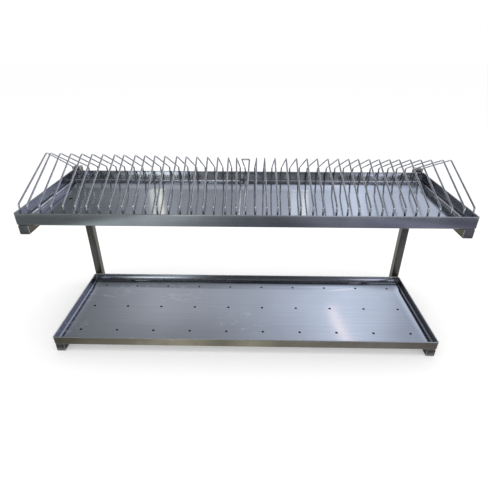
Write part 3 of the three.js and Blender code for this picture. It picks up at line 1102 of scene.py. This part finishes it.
def makeCap(node, axis, outward):
    low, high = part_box(node)
    middle = (low + high) / 2
    half = (high.x - low.x) / 2
    thickness = high.y - low.y if axis == "y" else high.z - low.z
    bevel = capShape["bevel"]
    profile = [(half - capShape["backBevel"], 0.0), (half, capShape["backBevel"])]
    profile += [(half - inward, rise) for inward, rise in arc(
        (bevel, thickness - bevel), bevel, 180, 90, capShape["bevelSteps"])]
    leastRadius = capShape["leastRadius"]
    levels = [(reach, max(tubeRadius - (half - reach), leastRadius), outward * (z - thickness / 2))
              for reach, z in profile]
    shape = bmesh.new()
    loops = addRings(shape, squareRings(middle, axis, levels))
    for face in shape.faces:
        face.material_index = 1
    closeEnds(shape, loops)
    newPiece(node + "_plate", shape, [capSteel, groundSteel], "stand", "cap_steel", node)


def makeFrameWelds(side, x, inward, postFoot):
    half = tubeSize / 2
    forward, up, inner = Vector((0, -1, 0)), Vector((0, 0, 1)), Vector((inward, 0, 0))
    joint = upperLow.z - tubeSize
    shape = bmesh.new()
    for rim in (lowerHigh.z, upperHigh.z):
        start = Vector((x - rimWeldLength / 2, upperHigh.y, rim))
        addBead(shape, start, start + Vector((rimWeldLength, 0, 0)), forward, up, weldLeg, inward + rim)
    for y in armWeldRows:
        for z in (lowerLow.z, upperLow.z):
            start = Vector((x + inward * half, y - armWeldLength / 2, z))
            end = start + Vector((0, armWeldLength, 0))
            addBead(shape, start, end, inner, -up, weldLeg, inward + y + z)
    reach = Vector((half - tubeRadius, 0, 0))
    under = Vector((x, upperHigh.y, joint))
    addBead(shape, under - reach, under + reach, forward, -up, underWeldLeg, seed=inward + 5)
    flat = Vector((0, tubeSize - 2 * tubeRadius, 0))
    for sign in (-1, 1):
        edge = Vector((x + sign * half, upperHigh.y, joint + tubeRadius))
        addSeam(shape, edge, edge + Vector((0, 0, flat.y)), Vector((sign, 0, 0)), inward + sign)
        edge = Vector((x + sign * half, upperHigh.y + tubeRadius, postFoot))
        addSeam(shape, edge, edge + flat, Vector((sign, 0, 0)), inward + 2 * sign)
    edge = Vector((x, upperHigh.y + tubeSize, postFoot))
    addSeam(shape, edge - reach, edge + reach, Vector((0, 1, 0)), seed=inward + 9)
    newPiece(f"{side}_frame_welds", shape, [weldSteel], "stand", "tube_steel", sharpDegrees=60)


def makeSideFrame(side):
    inward = 1 if side == "left" else -1
    x = -inward * tubeCentre
    half = tubeSize / 2
    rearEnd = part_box(f"{side}_lower_rear_cap")[0].y
    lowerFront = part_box(f"{side}_lower_front_cap")[1].y
    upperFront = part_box(f"{side}_upper_front_cap")[1].y
    postFoot = lowerLow.z
    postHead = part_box(f"{side}_post_cap")[0].z
    lowerStart = Vector((x, lowerFront, lowerLow.z - half))
    upperStart = Vector((x, upperFront, upperLow.z - half))
    postStart = Vector((x, upperHigh.y + half, postFoot))
    makeTube(f"{side}_lower_arm", armSteel, lowerStart, rearEnd - lowerFront, "y")
    makeTube(f"{side}_upper_arm", armSteel, upperStart, upperHigh.y - upperFront, "y")
    post = makeTube(f"{side}_post", postSteel, postStart, postHead - postFoot, "z")
    post.visible_glossy = False  # the posts don't show in the satin floors
    for cap, axis, outward in (
            ("lower_front", "y", -1), ("lower_rear", "y", 1), ("upper_front", "y", -1), ("post", "z", 1)):
        makeCap(f"{side}_{cap}_cap", axis, outward)
    makeFrameWelds(side, x, inward, postFoot)


makeSideFrame("left")
makeSideFrame("right")
print("side frames welded")


# Bent wire

def bendPath(corners, radii, steps, closed=False):
    points = []
    count = len(corners)
    for index, corner in enumerate(corners):
        if not closed and index in (0, count - 1):
            points.append(corner.copy())
            continue
        before = (corners[index - 1] - corner).normalized()
        after = (corners[(index + 1) % count] - corner).normalized()
        half = before.angle(after) / 2
        radius = radii[index]
        centre = corner + (before + after).normalized() * (radius / math.sin(half))
        start = corner + before * (radius / math.tan(half)) - centre
        axis = after.cross(before).normalized()
        for step in range(steps + 1):
            turn = Matrix.Rotation((math.pi - 2 * half) * step / steps, 3, axis)
            points.append(centre + turn @ start)
    return points


def sweepRings(path, section):
    side = Vector((1, 0, 0))
    rings = []
    for index, point in enumerate(path):
        before = path[index - 1] if index else point
        after = path[index + 1] if index < len(path) - 1 else point
        ahead = ((point - before).normalized() + (after - point).normalized()).normalized()
        side = (side - ahead * side.dot(ahead)).normalized()
        up = ahead.cross(side)
        rings.append([point + side * a + up * b for a, b in section])
    return rings


def addWire(shape, path, radius, sides, knees):
    rings = sweepRings(path, circle(radius, sides))
    for point, ring in zip(path, rings):
        nearness = max(0.0, 1 - min((point - knee).length for knee in knees) / hoopWire["kneeReach"])
        spread = hoopWire["kneeSpread"] * nearness
        for index, place in enumerate(ring):
            ring[index] = place + (place - point) * spread
    first, last = [], []
    for share in hoopWire["endShares"]:
        reach = radius * hoopWire["endRise"] * (1 - share)
        outFirst = (path[0] - path[1]).normalized() * reach
        outLast = (path[-1] - path[-2]).normalized() * reach
        first.append([path[0] + (p - path[0]) * share + outFirst for p in rings[0]])
        last.append([path[-1] + (p - path[-1]) * share + outLast for p in rings[-1]])
    closeEnds(shape, addRings(shape, first[::-1] + rings + last))


hoopWire = {
    "sides": 14,
    "bendSteps": 7,
    "shoulderRise": 0.0155,
    "shoulderLean": 0.0015,
    "shoulderRadius": 0.006,
    "kneeReach": 0.006,  # the tight bends are pressed a little fuller
    "kneeSpread": 0.25,
    "endShares": (0.85, 0.5),  # the cut ends narrow in two steps
    "endRise": 0.35,
    "peakRise": 0.084,
    "peakRadius": 0.012,
    "rearSway": 0.0007,
    "swaySeed": 11,
    "peakLift": {"left_rack": (0.006, -0.001), "right_rack": (-0.001, -0.004)},  # from first to last hoop
    "peakLean": {"left_rack": (0.010, 0.0), "right_rack": (0.0, 0.0)},
    "skewedTopWidth": 0.018,
    "skewedTopDrop": 0.004,
    "skewedBendRadius": 0.003,
    "skewedRearShare": 0.6,
}

tenthsPerMetre = 10000  # of a millimetre

hoopShifts = {  # how far each hoop was welded from its even place, in tenths of a millimetre
    "left_rack": [0, -20, -16, -6, -1, 8, 0, 11, 4, 17, 11, 8, 15, 7, 5, -1, 3, -22, -25, 0],
    "right_rack": [0, -1, -1, -13, 2, -9, 12, -21, 20, 13, 7, -1, 13, 2, 4, -3, -6, -10, -11, 6, 0],
}

peakShifts = {  # how far each hoop's top leans to one side, in tenths of a millimetre
    "left_rack": [80, -10, -30, -30, -25, -30, -10, 10, -10, 0, -15, -20, -40, 0, -25, -15, -15, 5, 5, -40],
    "right_rack": [0, 25, -30, -15, -10, 0, -20, 10, -25, -20, -15, -25, -25, -30, -30, -40, -25, -20, -25,
                   -10, -30],
}


def hoopCorners(name, shift, peakShift, sway, lift, lean):
    low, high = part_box(name)
    middle = (upperLow.y + upperHigh.y) / 2 + lean
    skewed = name == skewedHoop
    x = (low.x + high.x) / 2 + shift
    if skewed:
        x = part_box("right_rack_frame")[0].x + railDiameter + seatGap + wireRadius
    rearX = x + sway * hoopWire["rearSway"]
    front, rear = low.y + wireRadius, high.y - wireRadius
    inset = hoopWire["shoulderLean"]
    shoulder = upperHigh.z + hoopWire["shoulderRise"]
    peak = upperHigh.z + hoopWire["peakRise"] - wireRadius + lift
    tops = [(x + peakShift, middle, peak)]
    bend, topBend = hoopWire["shoulderRadius"], hoopWire["peakRadius"]
    if skewed:
        leftEnd, top = low.x + wireRadius, peak - hoopWire["skewedTopDrop"]
        rearX = x + (leftEnd - x) * hoopWire["skewedRearShare"]
        tops = [(leftEnd + hoopWire["skewedTopWidth"], middle, top), (leftEnd, middle, top)]
        topBend = hoopWire["skewedBendRadius"]
    corners = [(x, front, low.z), (x, front + inset, shoulder), *tops,
               (rearX, rear - inset, shoulder), (x, rear, low.z)]
    return [Vector(corner) for corner in corners], [0, bend, *[topBend] * len(tops), bend, 0]


def makeHoop(name, body, *offsets):
    corners, radii = hoopCorners(name, *offsets)
    path = bendPath(corners, radii, hoopWire["bendSteps"])
    shape = bmesh.new()
    addWire(shape, path, wireRadius + wireSwell, hoopWire["sides"], [corners[1], corners[-2]])
    newPiece(name + "_wire", shape, [wireSteel], body, "wire_steel", name, sharpDegrees=50)
    return corners[0], corners[-1]


rails = {"sides": 20, "cornerRadius": 0.004, "bendSteps": 8}


def makeRail(name, body):
    low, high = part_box(name)
    r = railDiameter / 2
    corners = [Vector((x, y, railHeight)) for x, y in (
        (low.x + r, low.y + r), (high.x - r, low.y + r), (high.x - r, high.y - r), (low.x + r, high.y - r))]
    path = bendPath(corners, [rails["cornerRadius"]] * 4, rails["bendSteps"], closed=True)
    section = circle(r + wireSwell, rails["sides"])
    rings = []
    for index, point in enumerate(path):
        ahead = (path[(index + 1) % len(path)] - path[index - 1]).normalized()
        side = ahead.cross(Vector((0, 0, 1)))
        rings.append([point + side * a + Vector((0, 0, b)) for a, b in section])
    shape = bmesh.new()
    addRings(shape, rings, alongClosed=True)
    newPiece(name + "_rod", shape, [wireSteel], body, "wire_steel", name, sharpDegrees=50)
    return low.y + r, high.y - r


nugget = {
    "rise": 0.0006,
    "halfWidth": 0.0021,
    "halfHeight": 0.0017,
    "extra": 0.0004,
    "rings": 6,
    "sides": 12,
    "unevenness": 0.22,
    "lumps": 1.3,
    "noiseSlice": 0.2,
    "seedStep": 0.37,
    "seedSpread": 90,
}


def addNugget(shape, foot, railY, seed):
    middle = Vector((foot.x, (foot.y + railY) / 2, railHeight + nugget["rise"]))
    reach = abs(railY - foot.y) / 2 + nugget["extra"]
    rings = []
    for ring in range(1, nugget["rings"]):
        turn = math.pi * ring / nugget["rings"]
        loop = []
        for a, b in circle(math.sin(turn), nugget["sides"]):
            ray = Vector((a, math.cos(turn), b))
            uneven = field.noise(ray * nugget["lumps"] + Vector((seed, nugget["noiseSlice"], seed)))
            size = 1 + nugget["unevenness"] * uneven
            swell = Vector((ray.x * nugget["halfWidth"], ray.y * reach, ray.z * nugget["halfHeight"]))
            loop.append(middle + swell * size)
        rings.append(loop)
    closeEnds(shape, addRings(shape, rings))


def makeRackWelds(body, feet, railRows):
    shape = bmesh.new()
    for index, pair in enumerate(feet):
        for foot, railY in zip(pair, railRows):
            addNugget(shape, foot, railY, index * nugget["seedStep"] + railY * nugget["seedSpread"])
    newPiece(body + "_welds", shape, [weldSteel], body, "wire_steel", sharpDegrees=60)


swayDraw = random.Random(hoopWire["swaySeed"])
for body in ("left_rack", "right_rack"):
    railRows = makeRail(body + "_frame", body)
    hoopNames = sorted(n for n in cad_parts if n.startswith(body.replace("rack", "hoop")))
    feet = []
    for index, hoopName in enumerate(hoopNames):
        along = index / (len(hoopNames) - 1)
        lift, lean = (first + (last - first) * along for first, last in (
            hoopWire["peakLift"][body], hoopWire["peakLean"][body]))
        shift, peakShift = (shifts[body][index] / tenthsPerMetre for shifts in (hoopShifts, peakShifts))
        feet.append(makeHoop(hoopName, body, shift, peakShift, swayDraw.uniform(-1, 1), lift, lean))
    makeRackWelds(body, feet, railRows)
print("racks bent")
